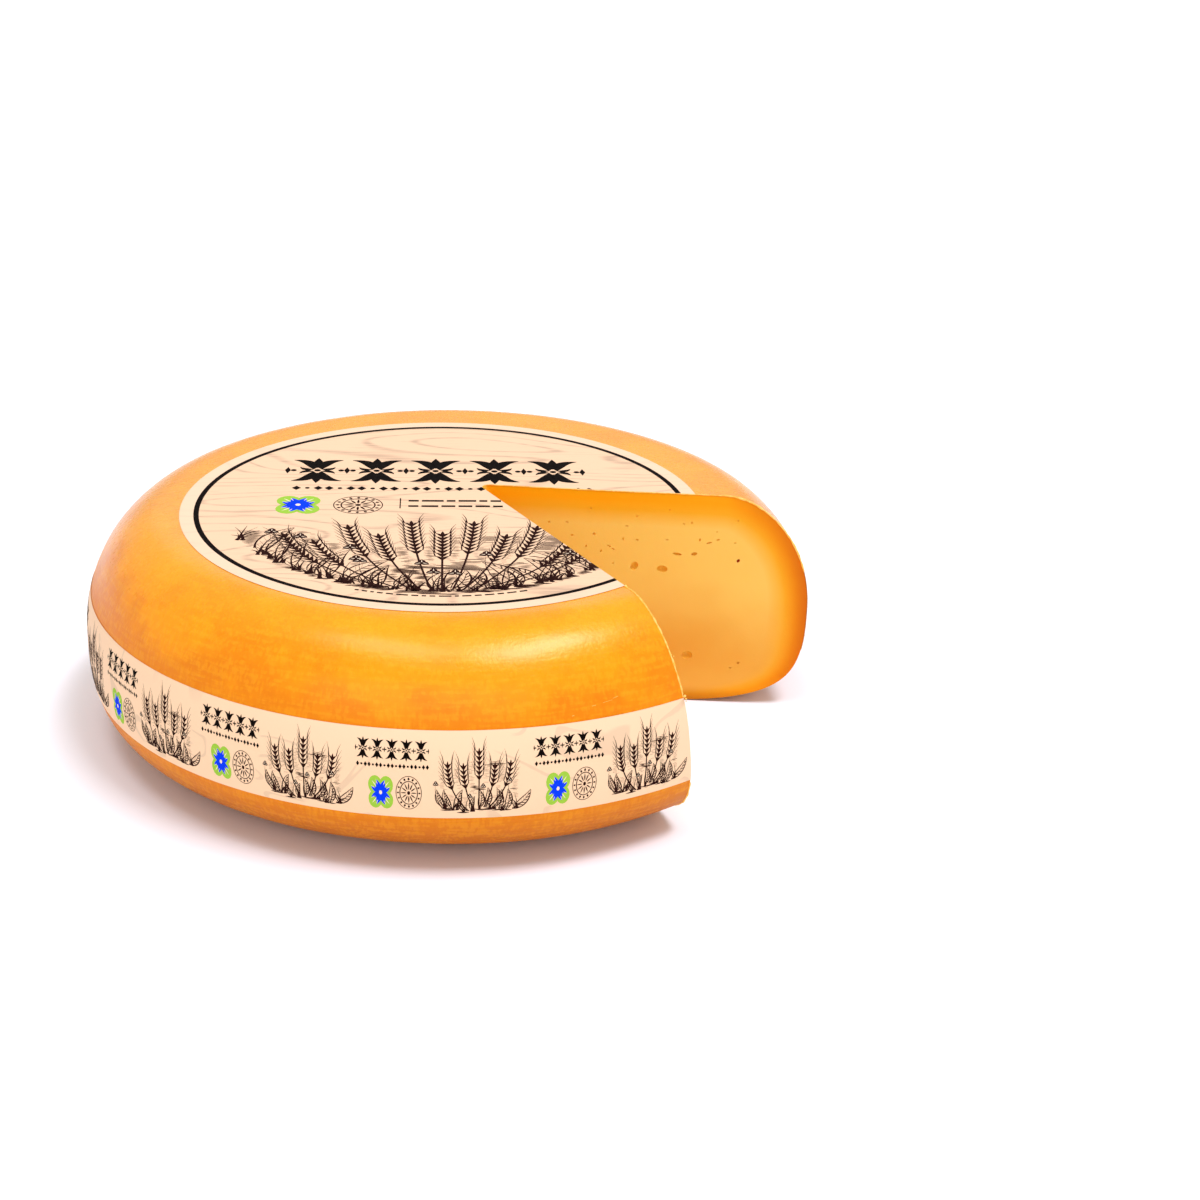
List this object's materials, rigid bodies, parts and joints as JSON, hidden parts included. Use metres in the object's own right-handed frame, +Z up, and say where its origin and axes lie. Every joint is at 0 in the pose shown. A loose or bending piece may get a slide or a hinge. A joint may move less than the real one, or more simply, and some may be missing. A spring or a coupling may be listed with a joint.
{
  "type": "cheese wheel",
  "caption": "Round hard cheese wheel with an orange rind, a wedge cut out, a paper label on its flat top and a paper band round its side.",
  "frame": {"origin": "middle of the flat bottom, on the axis of the round wheel", "axes": "+Z up along the wheel's axis, the cut notch open towards +X and -Y"},
  "size_m": [0.3609, 0.361, 0.1132],
  "materials": {
    "cheese": "smooth waxy orange rind with a soft gloss, and a matt yellow paste on the cuts",
    "label_paper": "matt cream paper with brown and black print",
    "band_paper": "matt cream paper with brown and black print"
  },
  "bodies": {
    "root": {"cheese_wheel": "cheese", "top_label": "label_paper", "side_band": "band_paper"}
  },
  "joints": []
}
